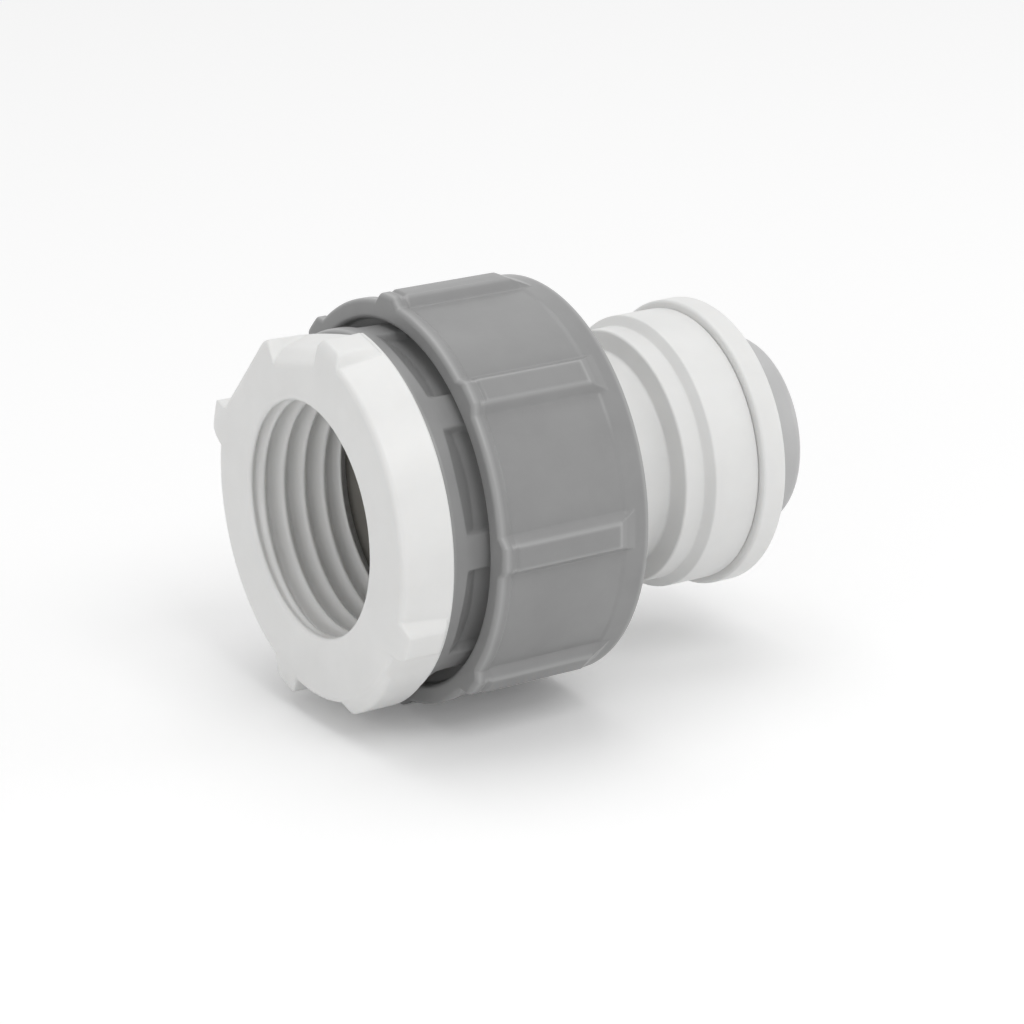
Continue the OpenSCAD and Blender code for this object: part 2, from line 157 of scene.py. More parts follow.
# Ribs of the nut, with sloping sides and back ends
RIB_R = 16.85
RIB_HALF_W = 1.6  # at the foot
RIB_SLOPE = 0.72
RIB_END_X = 19.7
RIB_END_SLOPE = 1.95
VALLEY_X = 8.55  # of the dip across the ribs, behind the rim
VALLEY_HALF_W = 0.2
VALLEY_DEPTH = 0.16
RIM_RIB_X = 8.15  # of the part of a rib on the rim, which is lower
RIM_RIB_SLOPE = 0.35
RIM_RIB_DROP = 0.1

# Front of the nut: rim, lip and the groove between them with its tabs. The groove
# is deeper and wider between the tabs, by the sizes called scoop and flare.
RIM_X = 7.4
RIM_END = 8.2  # of the rounding at its front
RIM_BACK_X = 8.4
RIM_BACK_SLOPE = 0.25
RIM_IN_R = 14.55
RIM_ROUND = 0.75
RIM_UNDER_X = 8.3
RIM_UNDER_R = 14.5
LIP_R = 14.15
LIP_ROUND = 0.45
LIP_BACK_X = 5.85
GROOVE_R = 13.5
GROOVE_X = 6.75
GROOVE_END = 8.45
GROOVE_BACK_X = 8.9  # of its corner under the rim
GROOVE_SCOOP = 0.12
GROOVE_FLARE = 0.2
TAB_HALF_W = 1.3  # at the top
TAB_SLOPE = 0.45
TAB_EXTRA_W = 0.4  # on the side that faces the smaller angles
TAB_DROP = 0.02  # below the lip
NUT_STATIONS = np.concatenate([
    np.linspace(RIM_END + 0.05, 9.1, 14),
    np.linspace(9.4, 17.2, 14),
    np.linspace(17.4, 20.5, 32),
])

# Painted highlights on the nut's edges: paler lines that stand in for light caught there,
# along the sides and round the ends of its ribs, and in rings round the rim, the lip and the back
RIB_HIGHLIGHT_R = 16.4  # the least radius of the painted highlights on the ribs
RIB_SIDE_HIGHLIGHT = 0.93  # from a rib's middle
RIB_SIDE_HIGHLIGHT_W = 0.14
RIB_END_HIGHLIGHT_X = 17.9
RIB_END_HIGHLIGHT_W = 0.16
HighlightRing = namedtuple("HighlightRing", "x width least_r")
RING_HIGHLIGHTS = (
    HighlightRing(RIM_X + 0.35, 0.18, 15.5),
    HighlightRing(NUT_X + 0.25, 0.18, 13.85),
    HighlightRing(NUT_END - 0.2, 0.15, 15.7),
)

# Barrel, from the nose in the socket to the joint with the end cap
NOSE_LEAD = 0.3
NOSE_SEAL_X = 14.0
NOSE_SEAL_END = 15.8
NOSE_SEAL_ROOT_R = 7.4
SPLIT_RING_X = 17.2
SPLIT_RING_END = 18.4
SPLIT_RING_ROOT_R = 8.0
STEP_1_R = 10.4
STEP_1_X = 27.9
STEP_1_END = 28.35
STEP_2_R = 11.2
STEP_2_X = 30.1
STEP_2_END = 30.7
BARREL_END = 34.9
SKIRT_R = 9.85  # of the end cap
SKIRT_BORE_R = SKIRT_R + SKIRT_FIT
SPACER_X = 31.4
PIPE_SEAL_R = 8.77
PIPE_SEAL_X = 28.8
PIPE_BORE_R = 6.15
PIPE_STOP_X = 23.5
PIPE_STOP_R = 4.7
CAGE_BORE_R = 6.3
VALVE_FLOOR_X = 22.5
STEP_ROUND = 0.22

# End cap, with the skirt that is pressed into the barrel
CAP_X = BARREL_END + CAP_GAP
CAP_R = 11.8
CAP_T = 2.35  # from the barrel's end
CAP_END = BARREL_END + CAP_T
CAP_BEVEL_X = CAP_END - 0.25
CAP_BEVEL_R = CAP_R - 0.4
THROAT_R = 8.2
THROAT_X = CAP_END - 1
CONE_X = BARREL_END + 0.1
SKIRT_X = 32.6
SKIRT_IN_R = 9.3

SMALL_ROUND = 0.1
TINY_ROUND = 0.05

# Steps of the meshes. The adaptor has finer steps at its lugs, and the nut at its
# ribs, within a span of each mark.
PLAIN_STEPS = 192
CORNER_STEPS = 5
BORE_STATIONS = 66
SPIGOT_STATIONS = 60
MOUTH_STEPS = 5
ADAPTOR_STEP = 1.5
ADAPTOR_FINE_STEP = 0.3
ADAPTOR_FINE_SPAN = 2.1
NUT_STEP = 1.6
NUT_FINE_STEP = 0.4
NUT_FINE_SPAN = 7.6
NEARLY_STRAIGHT = 0.05  # radians
SUPPORT = 0.05  # from a rounding to the point that keeps the flat beside it flat
LAST_SUPPORT = 0.3  # from a corner to the first or last point of a run

# Floor and camera: places in metres, the sensor in mm. The camera is fitted to the
# photograph, and the floor lies under the lowest rib.
FLOOR_Z = -RIB_R * MM
FLOOR_HALF = 1.5
SENSOR = 36.0
FOCAL_PIXELS = 3500
PHOTO_PIXELS = 1024
CAMERA_PLACE = (-0.12254, -0.22417, 0.08672)
CAMERA_FORWARD = (0.50490, 0.80150, -0.32045)
CAMERA_UP = (0.18082, 0.26479, 0.94720)
LAMP_TARGET = (0.018, 0, 0)


# Profile geometry

def smooth_min(a, b, blend):
    h = np.clip(0.5 + 0.5 * (b - a) / blend, 0.0, 1.0)
    return b * (1 - h) + a * h - blend * h * (1 - h)


def smooth_max(a, b, blend):
    return -smooth_min(-np.asarray(a), -np.asarray(b), blend)


def smooth_step(a, b, x):
    t = np.clip((x - a) / (b - a), 0.0, 1.0)
    return t * t * (3 - 2 * t)


def bell(x, middle, width):
    return np.exp(-((x - middle) / width) ** 2)


def turn_from(mark, angle, period=360):
    """Signed turn from a mark to an angle, within half a period."""
    return (angle - mark + period / 2) % period - period / 2


def edge_drop(gap, radius):
    """How far a rounded edge lies below the surface, at a gap from its end."""
    inside = np.clip(radius - gap, 0, radius)
    return radius - np.sqrt(radius * radius - inside * inside)


def corner_arc(before, corner, after, radius, steps):
    """The steps + 1 points of the arc that rounds a corner."""
    a, b = before - corner, after - corner
    length_a = max(np.linalg.norm(a), 1e-6)
    length_b = max(np.linalg.norm(b), 1e-6)
    a, b = a / length_a, b / length_b
    turn = math.acos(float(np.clip(a @ b, -1, 1)))
    cut = min(radius / math.tan(max(turn, NEARLY_STRAIGHT) / 2), 0.49 * length_a, 0.49 * length_b)
    shares = [k / steps for k in range(steps + 1)]
    if turn < NEARLY_STRAIGHT or turn > math.pi - NEARLY_STRAIGHT:
        near = [corner + a * cut * (1 - 2 * s) for s in shares if s < 0.5]
        return near + [corner + b * cut * (2 * s - 1) for s in shares if s >= 0.5]
    radius = cut * math.tan(turn / 2)
    middle = (a + b) / np.linalg.norm(a + b)
    centre = corner + middle * radius / math.sin(turn / 2)
    u, v = corner + a * cut - centre, corner + b * cut - centre
    sweep = math.pi - turn
    return [
        centre + (math.sin((1 - s) * sweep) * u + math.sin(s * sweep) * v) / math.sin(sweep)
        for s in shares
    ]


def fillet_path(corners, steps=CORNER_STEPS, closed=False):
    """Points along a path of corners (x, r, radius), each corner rounded by an arc.

    Every straight run keeps a support point just inside each end, so that
    smooth shading stays flat between the arcs. The count of points depends only
    on the count of corners and on which of them are rounded."""
    count = len(corners)
    places = [np.array(corner[:2], float) for corner in corners]
    groups = []
    for i, place in enumerate(places):
        radius = corners[i][2]
        if radius <= 0 or (not closed and i in (0, count - 1)):
            groups.append([place])
        else:
            groups.append(corner_arc(places[i - 1], place, places[(i + 1) % count], radius, steps))
    path = []
    for i, group in enumerate(groups):
        path += group
        if i + 1 < count or closed:
            a, b = group[-1], groups[(i + 1) % count][0]
            gap = max(np.linalg.norm(b - a), 1e-9)
            inset = (b - a) / gap * min(SUPPORT, gap / 3)
            path += [a + inset, b - inset]
    return np.array(path)


def angles_with(base, marks, span, fine):
    """Angles in degrees, base apart, with finer ones within span of each mark."""
    angles = set(np.round(np.arange(0, 360, base), 4))
    for mark in marks:
        angles = {angle for angle in angles if abs(turn_from(mark, angle)) > span}
        angles |= set(np.round(np.arange(-span, span + fine / 2, fine) + mark, 4) % 360)
    return np.array(sorted(angles))


def revolve(name, angles, section):
    """Closed piece round the flow axis. section(angle) gives arrays x, r in mm, in
    order round the cut."""
    rings = []
    for angle in angles:
        x, r = section(angle)
        rings.append(np.stack([
            x,
            -math.sin(math.radians(angle)) * r,
            math.cos(math.radians(angle)) * r,
        ], axis=1))
    points = np.concatenate(rings) * MM
    ids = np.arange(len(points)).reshape(len(rings), -1)
    next_ring, next_point = np.roll(ids, -1, axis=0), np.roll(ids, -1, axis=1)
    across = np.roll(next_ring, -1, axis=1)
    quads = np.stack([ids, next_ring, across, next_point], axis=2).reshape(-1, 4)
    mesh = bpy.data.meshes.new(name)
    mesh.from_pydata(points.tolist(), [], quads.tolist())
    mesh.polygons.foreach_set("use_smooth", np.ones(len(quads), bool))
    mesh.update()
    piece = bpy.data.objects.new(name, mesh)
    scene.collection.objects.link(piece)
    # The winding points outwards where the enclosed volume comes out positive.
    a, b, c, d = (points[quads[:, k]] for k in range(4))
    volume = (a * np.cross(b, c)).sum() + (a * np.cross(c, d)).sum()
    if volume < 0:
        mesh.flip_normals()
    return piece


def plain(name, corners):
    """Piece with the same rounded section all the way round."""
    path = fillet_path(corners, closed=True)
    angles = np.arange(0, 360, 360 / PLAIN_STEPS)
    return revolve(name, angles, lambda angle: (path[:, 0], path[:, 1]))


def put(piece, cad_node, body, slot):
    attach(piece, body)
    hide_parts(cad_node)
    piece.data.materials.append(MATERIALS[slot])


# Materials

def new_material(name):
    mat = bpy.data.materials.new(name)
    mat.use_nodes = True
    tree = mat.node_tree
    return mat, tree, tree.nodes["Principled BSDF"]


def node(tree, kind, **values):
    """New shader node, with values for its inputs or its own settings."""
    made = tree.nodes.new(kind)
    for key, value in values.items():
        if key in made.inputs:
            made.inputs[key].default_value = value
        else:
            setattr(made, key, value)
    return made


def set_inputs(shader, **values):
    for key, value in values.items():
        shader.inputs[key.replace("_", " ")].default_value = value


def colour_ramp(tree, low, high, start=0.0, end=1.0):
    ramp = node(tree, "ShaderNodeValToRGB")
    for element, place, colour in zip(ramp.color_ramp.elements, (start, end), (low, high)):
        element.position = place
        element.color = (*colour, 1)
    return ramp


def moulded(name, low, high, rough, bump, edge=None, subsurface=0.0):
    """Injection-moulded plastic: a faint cloudy tint, a roughness that varies over
    a few millimetres, and a fine skin with soft sink marks under it. Where edge is
    given, it is a painted highlight: the paler colour where the mesh's attribute
    edge is 1, standing in for light caught on the edges."""
    mat, tree, bsdf = new_material(name)
    link = tree.links.new
    coord = node(tree, "ShaderNodeTexCoord")
    cloud = node(tree, "ShaderNodeTexNoise", Scale=208.0, Detail=5.0, Roughness=0.55)
    ramp = colour_ramp(tree, low, high, 0.3, 0.7)
    link(coord.outputs["Object"], cloud.inputs["Vector"])
    link(cloud.outputs["Fac"], ramp.inputs["Fac"])
    colour = ramp.outputs["Color"]
    # Painted highlight: the edge colour is mixed in where the mesh's attribute edge is 1
    if edge:
        highlight_share = node(tree, "ShaderNodeAttribute", attribute_name="edge")
        painted_highlight_mix = node(tree, "ShaderNodeMixRGB", Color2=(*edge, 1))
        link(highlight_share.outputs["Fac"], painted_highlight_mix.inputs["Fac"])
        link(colour, painted_highlight_mix.inputs["Color1"])
        colour = painted_highlight_mix.outputs["Color"]
    link(colour, bsdf.inputs["Base Color"])
    patch = node(tree, "ShaderNodeTexNoise", Scale=364.0, Detail=3.0, Roughness=0.5)
    spread = node(tree, "ShaderNodeMapRange")
    set_inputs(spread, To_Min=rough - 0.05, To_Max=rough + 0.07)
    link(coord.outputs["Object"], patch.inputs["Vector"])
    link(patch.outputs["Fac"], spread.inputs["Value"])
    link(spread.outputs["Result"], bsdf.inputs["Roughness"])
    skin = node(tree, "ShaderNodeTexNoise", Scale=5200.0, Detail=2.0, Roughness=0.6)
    sink = node(tree, "ShaderNodeTexNoise", Scale=190.0, Detail=1.0, Roughness=0.4)
    fine = node(tree, "ShaderNodeBump", Strength=bump, Distance=0.00001)
    soft = node(tree, "ShaderNodeBump", Strength=0.2, Distance=0.0001)
    link(coord.outputs["Object"], skin.inputs["Vector"])
    link(coord.outputs["Object"], sink.inputs["Vector"])
    link(sink.outputs["Fac"], soft.inputs["Height"])
    link(skin.outputs["Fac"], fine.inputs["Height"])
    link(soft.outputs["Normal"], fine.inputs["Normal"])
    link(fine.outputs["Normal"], bsdf.inputs["Normal"])
    set_inputs(
        bsdf,
        IOR=1.49,
        Subsurface_Weight=subsurface,
        Subsurface_Radius=(0.0012, 0.0011, 0.0010),
        Subsurface_Scale=1.0,
    )
    return mat


def rubbery(name, low, high):
    """Moulded rubber with a dusty bloom and a fine grain."""
    mat, tree, bsdf = new_material(name)
    link = tree.links.new
    coord = node(tree, "ShaderNodeTexCoord")
    bloom = node(tree, "ShaderNodeTexNoise", Scale=420.0, Detail=6.0, Roughness=0.6)
    ramp = colour_ramp(tree, low, high)
    grain = node(tree, "ShaderNodeTexNoise", Scale=6000.0, Detail=3.0)
    bump = node(tree, "ShaderNodeBump", Strength=0.5, Distance=0.00002)
    link(coord.outputs["Object"], bloom.inputs["Vector"])
    link(coord.outputs["Object"], grain.inputs["Vector"])
    link(bloom.outputs["Fac"], ramp.inputs["Fac"])
    link(ramp.outputs["Color"], bsdf.inputs["Base Color"])
    link(grain.outputs["Fac"], bump.inputs["Height"])
    link(bump.outputs["Normal"], bsdf.inputs["Normal"])
    set_inputs(bsdf, Roughness=0.62, IOR=1.45)
    return mat


def drawn_steel(name):
    """Stainless spring steel with fine drawing lines."""
    mat, tree, bsdf = new_material(name)
    link = tree.links.new
    coord = node(tree, "ShaderNodeTexCoord")
    lines = node(tree, "ShaderNodeTexNoise", Scale=2600.0, Detail=4.0, Roughness=0.7)
    ramp = colour_ramp(tree, (0.5, 0.51, 0.52), (0.68, 0.69, 0.7))
    bump = node(tree, "ShaderNodeBump", Strength=0.3, Distance=0.00001)
    link(coord.outputs["Object"], lines.inputs["Vector"])
    link(lines.outputs["Fac"], ramp.inputs["Fac"])
    link(ramp.outputs["Color"], bsdf.inputs["Base Color"])
    link(lines.outputs["Fac"], bump.inputs["Height"])
    link(bump.outputs["Normal"], bsdf.inputs["Normal"])
    set_inputs(bsdf, Metallic=1.0, Roughness=0.28)
    return mat


MATERIALS = {
    "white_plastic": moulded(
        "white_plastic", (0.80, 0.80, 0.79), (0.84, 0.84, 0.83),
        rough=0.34, bump=0.2, subsurface=0.12,
    ),
    "grey_plastic": moulded(
        "grey_plastic", (0.26, 0.26, 0.26), (0.29, 0.29, 0.29),
        # edge is the painted highlight colour on the nut's edges
        rough=0.31, bump=0.25, edge=(0.37, 0.37, 0.37),
    ),
    "rubber": rubbery("rubber", (0.018, 0.018, 0.019), (0.035, 0.035, 0.036)),
    "washer": rubbery("washer", (0.20, 0.19, 0.175), (0.26, 0.25, 0.23)),
    "steel": drawn_steel("steel"),
}
PALE_GREY = moulded("pale_grey_plastic", (0.50, 0.50, 0.50), (0.54, 0.54, 0.54), rough=0.36, bump=0.4)


def dress_cad():
    """Material of each CAD piece. The collet is a paler grey than its slot."""
    for row in frame["record"]["subparts"]:
        piece = nodes[row["node"]]
        piece.data.materials.clear()
        collet = row["node"] == "release_collet"
        piece.data.materials.append(PALE_GREY if collet else MATERIALS[row["material_slot"]])


# Tank adaptor

def lug_rise(angle, x):
    """How high a lug stands at this angle and depth, 0 to 1, and its tip's radius."""
    for lug in LUGS:
        t = math.radians(abs(turn_from(lug.angle, angle))) * RIM_ARC_R
        if t > LUG_REACH:
            continue
        side = smooth_min((LUG_HALF_W - t) / LUG_SLOPE, 1.0, blend=0.45)
        front = smooth_min((x - LUG_FRONT_X) / LUG_FRONT_SLOPE, 1.0, blend=0.3)
        back = smooth_min((LUG_BACK_X - x) / LUG_BACK_SLOPE, 1.0, blend=0.2)
        return float(smooth_max(min(side, front, back), 0.0, blend=0.12)), lug.tip_r
    return 0.0, FLANGE_R


def flat_radius(flat, angle, x):
    """Radius at which a flat cuts the rim, raised where it is past its sector."""
    off = turn_from(flat.angle, angle)
    distance = flat.face_r + (flat.depth_r - flat.face_r) * x / flat.depth
    past = max(flat.start - flat.angle - off, off - (flat.end - flat.angle)) * MM_A_DEGREE
    return distance / math.cos(math.radians(off)) + max(0.0, past + FLAT_LAP) * FLAT_RUNOUT


def ramp_radius(angle, x):
    """Radius of the ramp, with its bevelled front edge."""
    off = math.radians(angle - RAMP_SET_ANGLE)
    r = RAMP_SET * math.cos(off) + math.sqrt(RAMP_R ** 2 - (RAMP_SET * math.sin(off)) ** 2)
    return float(smooth_min(r, RAMP_BEVEL_R + RAMP_BEVEL_SLOPE * x, blend=0.2))


def rim_radius(angle, x):
    """Radius of the flange's rim, before its edges are rounded."""
    r = FLANGE_FACE_R + (FLANGE_R - FLANGE_FACE_R) * x / FLANGE_T
    for flat in FLATS:
        if abs(turn_from(flat.angle, angle)) < FLAT_REACH:
            r = float(smooth_min(r, flat_radius(flat, angle, x), blend=0.2))
    if RAMP_START < angle < RAMP_END + 1:
        step = float(smooth_step(RAMP_END + 0.5, RAMP_END - 0.3, angle))
        r += max(0.0, ramp_radius(angle, x) - r) * step
    rise, tip_r = lug_rise(angle, x)
    return r + (tip_r - r) * rise


def thread_wave(x, pitch, turn):
    """A right-hand thread's wave, from 0 to 1 and back over each pitch."""
    return 0.5 - 0.5 * np.cos(TAU * (x / pitch - turn))


def tank_thread_radius(x, turn):
    start = smooth_step(THREAD_START_X, THREAD_FULL_X, x)
    end_x = THREAD_END + THREAD_OVERRUN
    end = smooth_step(end_x, end_x - THREAD_RUNOUT, x)
    return THREAD_R + THREAD_DEPTH * thread_wave(x, THREAD_PITCH, turn) * start * end


def union_thread_radius(x, turn):
    start = smooth_step(UNION_START_X, UNION_START_X + UNION_LEAD, x)
    end = smooth_step(UNION_END_X, UNION_END_X - UNION_RUNOUT, x)
    root = (UNION_STEEPNESS - 1) / 2
    crest = np.clip(UNION_STEEPNESS * thread_wave(x, UNION_PITCH, turn) - root, 0, 1)
    return SPIGOT_ROOT_R + UNION_DEPTH * crest * start * end


def adaptor_section(angle):
    turn = angle / 360
    # The bore from its inner end to the mouth, and the mouth's rounding
    bore_x = np.linspace(THREAD_END, MOUTH_ROUND, BORE_STATIONS)
    mouth = np.radians(np.linspace(180, 270, MOUTH_STEPS + 1)[1:])
    # The rim with its rounded edges, and the spigot behind it
    rim_r = np.array([rim_radius(angle, x) for x in RIM_STATIONS])
    rim_r = rim_r - edge_drop(RIM_STATIONS, FRONT_ROUND)
    rim_r = rim_r - edge_drop(FLANGE_T - RIM_STATIONS, BACK_ROUND)
    spigot_x = np.linspace(FLANGE_T + LAST_SUPPORT, SPIGOT_END - SPIGOT_LEAD - 0.1, SPIGOT_STATIONS)
    # The spigot's end, the socket, the web and the washer's seat
    inside = fillet_path([
        (SPIGOT_END - SPIGOT_LEAD, SPIGOT_ROOT_R, 0),
        (SPIGOT_END, SPIGOT_ROOT_R - SPIGOT_LEAD, SMALL_ROUND),
        (SPIGOT_END, SOCKET_R, SMALL_ROUND),
        (SOCKET_X, SOCKET_R, SMALL_ROUND),
        (SOCKET_X, WEB_HOLE_R, SMALL_ROUND),
        (WEB_X, WEB_HOLE_R, SMALL_ROUND),
        (WEB_X, WASHER_SEAT_R, SMALL_ROUND),
        (THREAD_END, WASHER_SEAT_R, SMALL_ROUND),
        (THREAD_END, THREAD_R + LAST_SUPPORT, 0),
    ], steps=3)
    x = np.concatenate([
        bore_x,
        MOUTH_ROUND + MOUTH_ROUND * np.sin(mouth),
        np.zeros(len(FACE_SUPPORTS)),
        RIM_STATIONS,
        (FLANGE_T, FLANGE_T),
        spigot_x,
        inside[:, 0],
    ])
    r = np.concatenate([
        tank_thread_radius(bore_x, turn),
        MOUTH_R + MOUTH_ROUND * np.cos(mouth),
        MOUTH_R + (rim_r[0] - MOUTH_R) * FACE_SUPPORTS,
        rim_r,
        (FLANGE_BACK_R, SPIGOT_ROOT_R),
        union_thread_radius(spigot_x, turn),
        inside[:, 1],
    ])
    return x, r


def build_adaptor():
    # The marks are the lugs' sides, the ramp's step and the edge between two flats.
    marks = [lug.angle + side for lug in LUGS for side in (-LUG_SIDE_ANGLE, LUG_SIDE_ANGLE)]
    marks += [RAMP_END, FLATS[0].start]
    angles = angles_with(ADAPTOR_STEP, marks, ADAPTOR_FINE_SPAN, ADAPTOR_FINE_STEP)
    shell = revolve("adaptor_shell", angles, adaptor_section)
    put(shell, "tank_adaptor", "root", "white_plastic")


# Union nut

def rib_rise(t, x):
    """Height of a rib, 0 to 1, at t mm from its middle and x mm along the axis."""
    side = smooth_min((RIB_HALF_W - t) / RIB_SLOPE, 1.0, blend=0.12)
    back = smooth_min((RIB_END_X - x) / RIB_END_SLOPE, 1.0, blend=0.08)
    return smooth_max(smooth_min(side, back, blend=0.05), 0.0, blend=0.08)


def nut_side(x, t):
    """Radius of the nut's outside at x mm along the axis and t mm from a rib."""
    rim = (NUT_R - PANEL_R) * smooth_step(RIM_BACK_X + RIM_BACK_SLOPE, RIM_BACK_X, x)
    band = BAND_RISE * smooth_step(BAND_X, BAND_X + BAND_SLOPE, x)
    base = PANEL_R + rim + band
    valley = VALLEY_DEPTH * bell(x, VALLEY_X, VALLEY_HALF_W)
    drop = RIM_RIB_DROP * smooth_step(RIM_RIB_X + RIM_RIB_SLOPE, RIM_RIB_X, x)
    return base + (RIB_R - valley - drop - base) * rib_rise(t, x)


def nut_section(angle):
    off = turn_from(0, angle, RIB_PITCH)
    t = math.radians(abs(off)) * NUT_R
    # The lip and the groove behind it. A tab fills the groove under each rib.
    half_w = TAB_HALF_W + (TAB_EXTRA_W if off < 0 else 0.0)
    tab = float(smooth_step(half_w + TAB_SLOPE, half_w, t))
    scoop = 0.5 * (1 - math.cos(TAU * off / RIB_PITCH))
    floor_r = GROOVE_R - GROOVE_SCOOP * scoop
    groove_r = floor_r + (LIP_R - TAB_DROP - floor_r) * tab
    rim_r = float(nut_side(RIM_END, t))
    front = fillet_path([
        (NUT_X, NUT_BORE_R, SMALL_ROUND),
        (NUT_X, LIP_R, LIP_ROUND),
        (LIP_BACK_X - GROOVE_FLARE * scoop, LIP_R, 0.3),
        (GROOVE_X + GROOVE_FLARE * scoop, groove_r + 0.001, 0.5),
        (GROOVE_END, groove_r, 0.15),
        (GROOVE_BACK_X, floor_r + 0.02, SMALL_ROUND),
        (RIM_UNDER_X, RIM_UNDER_R, 0.3),
        (RIM_X, RIM_IN_R, 0.4),
        (RIM_X, rim_r, RIM_ROUND),
        (RIM_END, rim_r, 0),
    ], steps=6)
    back = fillet_path([
        (NUT_REAR_X, float(nut_side(NUT_REAR_X, t)), 0),
        (NUT_END, NUT_REAR_R, 0.3),
        (NUT_END, NUT_HOLE_R, 0.25),
        (NUT_FLOOR_X, NUT_HOLE_R, TINY_ROUND),
        (NUT_FLOOR_X, NUT_BORE_R, SMALL_ROUND),
        (NUT_X + LAST_SUPPORT, NUT_BORE_R, 0),
    ], steps=4)
    x = np.concatenate([front[:, 0], NUT_STATIONS, back[:, 0]])
    r = np.concatenate([front[:, 1], nut_side(NUT_STATIONS, t), back[:, 1]])
    return x, r


def nut_painted_highlights(points):
    """1 on the nut's outer edges, which get a painted highlight, and 0 away from them."""
    x, r = points[:, 0], np.hypot(points[:, 1], points[:, 2])
    angle = np.degrees(np.arctan2(-points[:, 1], points[:, 2]))
    t = np.radians(np.abs(turn_from(0, angle, RIB_PITCH))) * NUT_R
    on_rib = r > RIB_HIGHLIGHT_R
    behind_rim = (x > RIM_END) * (x < RIB_END_HIGHLIGHT_X + 0.1)
    lines = bell(t, RIB_SIDE_HIGHLIGHT, RIB_SIDE_HIGHLIGHT_W) * behind_rim * on_rib
    lines += bell(x, RIB_END_HIGHLIGHT_X, RIB_END_HIGHLIGHT_W) * (t < RIB_SIDE_HIGHLIGHT - 0.03) * on_rib
    for ring in RING_HIGHLIGHTS:
        lines += bell(x, ring.x, ring.width) * (r > ring.least_r)
    return np.clip(lines, 0, 1)


def build_nut():
    marks = [RIB_PITCH * i for i in range(RIBS)]
    shell = revolve("nut_shell", angles_with(NUT_STEP, marks, NUT_FINE_SPAN, NUT_FINE_STEP), nut_section)
    put(shell, "union_nut", "nut", "grey_plastic")
    mesh = shell.data
    points = np.empty(len(mesh.vertices) * 3)
    mesh.vertices.foreach_get("co", points)
    # Mask of the painted highlights, read by the grey plastic's edge colour
    edge = mesh.attributes.new("edge", "FLOAT", "POINT")
    edge.data.foreach_set("value", nut_painted_highlights(points.reshape(-1, 3) / MM))


# Barrel and end cap

def build_barrel():
    shell = plain("barrel_shell", [
        (SOCKET_X, CAGE_BORE_R, SMALL_ROUND),
        (SOCKET_X, NECK_R, NOSE_LEAD),
        (NOSE_SEAL_X, NECK_R, SMALL_ROUND),
        (NOSE_SEAL_X, NOSE_SEAL_ROOT_R, SMALL_ROUND),
        (NOSE_SEAL_END, NOSE_SEAL_ROOT_R, SMALL_ROUND),
        (NOSE_SEAL_END, NECK_R, SMALL_ROUND),
        (SPLIT_RING_X, NECK_R, TINY_ROUND),
        (SPLIT_RING_X, SPLIT_RING_ROOT_R, TINY_ROUND),
        (SPLIT_RING_END, SPLIT_RING_ROOT_R, TINY_ROUND),
        (SPLIT_RING_END, NECK_R, TINY_ROUND),
        (STEP_1_X, NECK_R, 0.25),
        (STEP_1_END, STEP_1_R, STEP_ROUND),
        (STEP_2_X, STEP_1_R, 0.2),
        (STEP_2_END, STEP_2_R, STEP_ROUND),
        (BARREL_END, STEP_2_R, 0.25),
        (BARREL_END, SKIRT_BORE_R, TINY_ROUND),
        (SPACER_X, SKIRT_BORE_R, TINY_ROUND),
        (SPACER_X, PIPE_SEAL_R, TINY_ROUND),
        (PIPE_SEAL_X, PIPE_SEAL_R, TINY_ROUND),
        (PIPE_SEAL_X, PIPE_BORE_R, SMALL_ROUND),
        (PIPE_STOP_X, PIPE_BORE_R, SMALL_ROUND),
        (PIPE_STOP_X, PIPE_STOP_R, SMALL_ROUND),
        (VALVE_FLOOR_X, PIPE_STOP_R, SMALL_ROUND),
        (VALVE_FLOOR_X, CAGE_BORE_R, TINY_ROUND),
    ])
    put(shell, "valve_body", "root", "white_plastic")


def build_cap():
    shell = plain("cap_shell", [
        (SKIRT_X, SKIRT_IN_R, TINY_ROUND),
        (SKIRT_X, SKIRT_R, TINY_ROUND),
        (CAP_X, SKIRT_R, 0.02),
        (CAP_X, CAP_R, 0.25),
        (CAP_BEVEL_X, CAP_R, 0.35),
        (CAP_END, CAP_BEVEL_R, 0.15),
        (CAP_END, THROAT_R, 0.25),
        (THROAT_X, THROAT_R, SMALL_ROUND),
        (CONE_X, SKIRT_IN_R, SMALL_ROUND),
    ])
    put(shell, "end_cap", "root", "white_plastic")


# Floor, lights and camera

def seen_directly(tree):
    """1 for a ray that shows a surface or the world, 0 for one that lights."""
    rays = tree.nodes.new("ShaderNodeLightPath")
    total = rays.outputs["Is Camera Ray"]
    for kind in ("Is Glossy Ray", "Is Transmission Ray"):
        add = node(tree, "ShaderNodeMath", operation="ADD", use_clamp=True)
        tree.links.new(total, add.inputs[0])
        tree.links.new(rays.outputs[kind], add.inputs[1])
        total = add.outputs[0]
    return total


def split_by_ray(tree, output, lighting, showing):
    """Rays that light get the shader lighting, and those that show get showing."""
    mix = tree.nodes.new("ShaderNodeMixShader")
    tree.links.new(seen_directly(tree), mix.inputs[0])
    tree.links.new(lighting.outputs[0], mix.inputs[1])
    tree.links.new(showing.outputs[0], mix.inputs[2])
    tree.links.new(mix.outputs[0], output.inputs["Surface"])


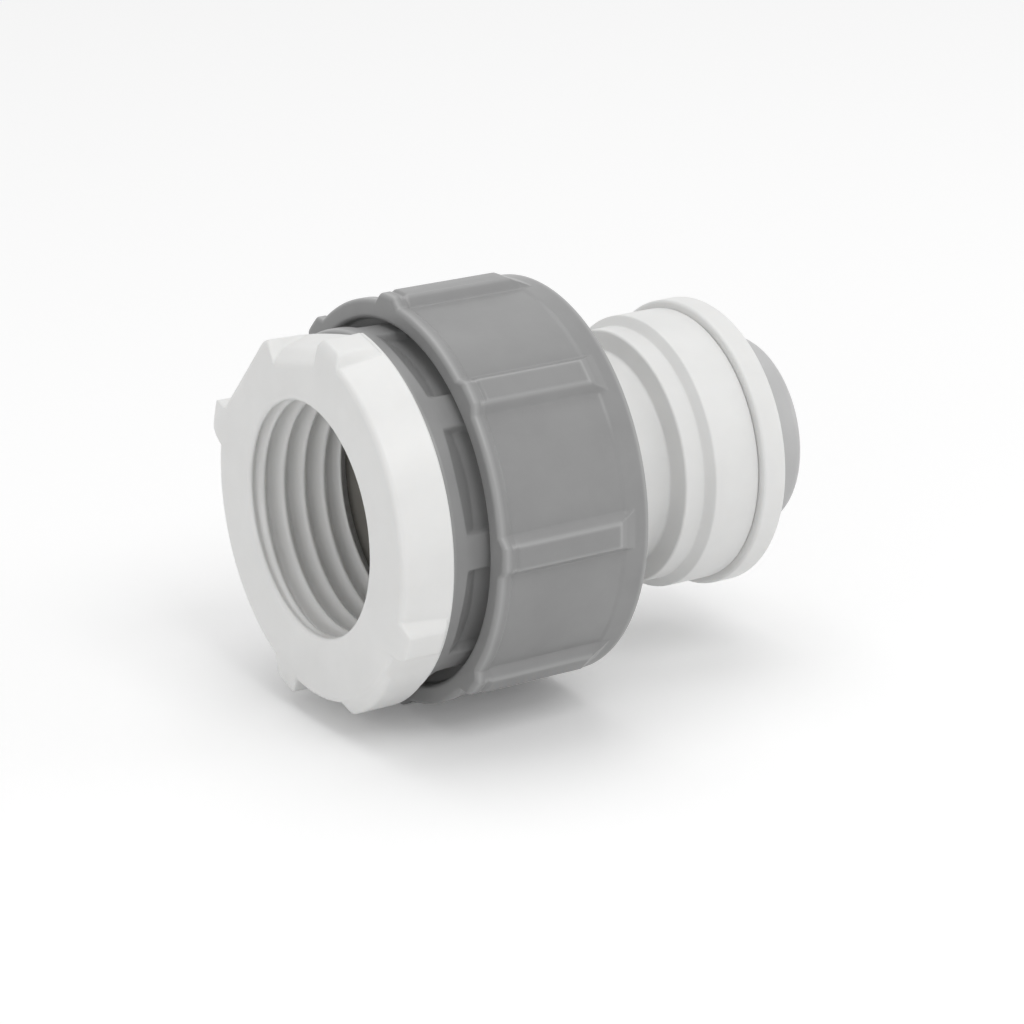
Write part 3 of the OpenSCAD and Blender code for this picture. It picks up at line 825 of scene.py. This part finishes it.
def floor_material():
    """White card with a faint glow, and a little darker where it lights the piece."""
    mat, tree, _ = new_material("floor")
    tree.nodes.clear()
    output = tree.nodes.new("ShaderNodeOutputMaterial")
    card = node(tree, "ShaderNodeBsdfDiffuse", Color=(1, 1, 1, 1))
    glow = node(tree, "ShaderNodeEmission", Color=(1, 1, 1, 1), Strength=0.09)
    showing = tree.nodes.new("ShaderNodeAddShader")
    tree.links.new(card.outputs[0], showing.inputs[0])
    tree.links.new(glow.outputs[0], showing.inputs[1])
    lighting = node(tree, "ShaderNodeBsdfDiffuse", Color=(0.88, 0.88, 0.88, 1))
    split_by_ray(tree, output, lighting, showing)
    return mat


def build_floor():
    mesh = bpy.data.meshes.new("floor")
    corners = [(-1, -1), (1, -1), (1, 1), (-1, 1)]
    mesh.from_pydata([(FLOOR_HALF * x, FLOOR_HALF * y, FLOOR_Z) for x, y in corners], [], [(0, 1, 2, 3)])
    mesh.materials.append(floor_material())
    floor = bpy.data.objects.new("floor", mesh)
    scene.collection.objects.link(floor)


def build_world():
    """White room, dimmer for the rays that light the piece."""
    world = bpy.data.worlds.new("studio")
    scene.world = world
    world.use_nodes = True
    tree = world.node_tree
    tree.nodes.clear()
    output = tree.nodes.new("ShaderNodeOutputWorld")
    lighting = node(tree, "ShaderNodeBackground", Color=(1, 1, 1, 1), Strength=0.5)
    showing = node(tree, "ShaderNodeBackground", Color=(1, 1, 1, 1), Strength=1.0)
    split_by_ray(tree, output, lighting, showing)


def softbox(name, place, size, power):
    """Rectangular lamp that faces the piece: its place and size in m, power in W."""
    lamp = bpy.data.lights.new(name, "AREA")
    lamp.shape = "RECTANGLE"
    lamp.size, lamp.size_y = size
    lamp.energy = power
    holder = bpy.data.objects.new(name, lamp)
    scene.collection.objects.link(holder)
    holder.location = place
    aim = Vector(LAMP_TARGET) - Vector(place)
    holder.rotation_euler = aim.to_track_quat("-Z", "Y").to_euler()


def build_camera():
    camera = bpy.data.cameras.new("camera")
    camera.sensor_width = SENSOR
    camera.sensor_fit = "HORIZONTAL"
    camera.lens = FOCAL_PIXELS / PHOTO_PIXELS * SENSOR
    camera.clip_start = 0.01
    holder = bpy.data.objects.new("camera", camera)
    scene.collection.objects.link(holder)
    forward = Vector(CAMERA_FORWARD).normalized()
    right = forward.cross(Vector(CAMERA_UP)).normalized()
    up = right.cross(forward).normalized()
    place = Matrix((right, up, -forward)).transposed().to_4x4()
    place.translation = Vector(CAMERA_PLACE)
    holder.matrix_world = place
    scene.camera = holder


dress_cad()
build_adaptor()
build_nut()
build_barrel()
build_cap()
build_floor()
build_world()
softbox("key", (0.02, -0.42, 0.5), (0.3, 0.3), 0.85)
softbox("top", (0.1, 0.25, 1.4), (1.2, 1.2), 6.0)
softbox("front", (-0.55, -0.35, 0.1), (0.5, 0.3), 0.62)
softbox("side", (0.5, -0.3, 0.16), (0.3, 0.2), 0.35)
build_camera()
scene.view_settings.view_transform = "Standard"
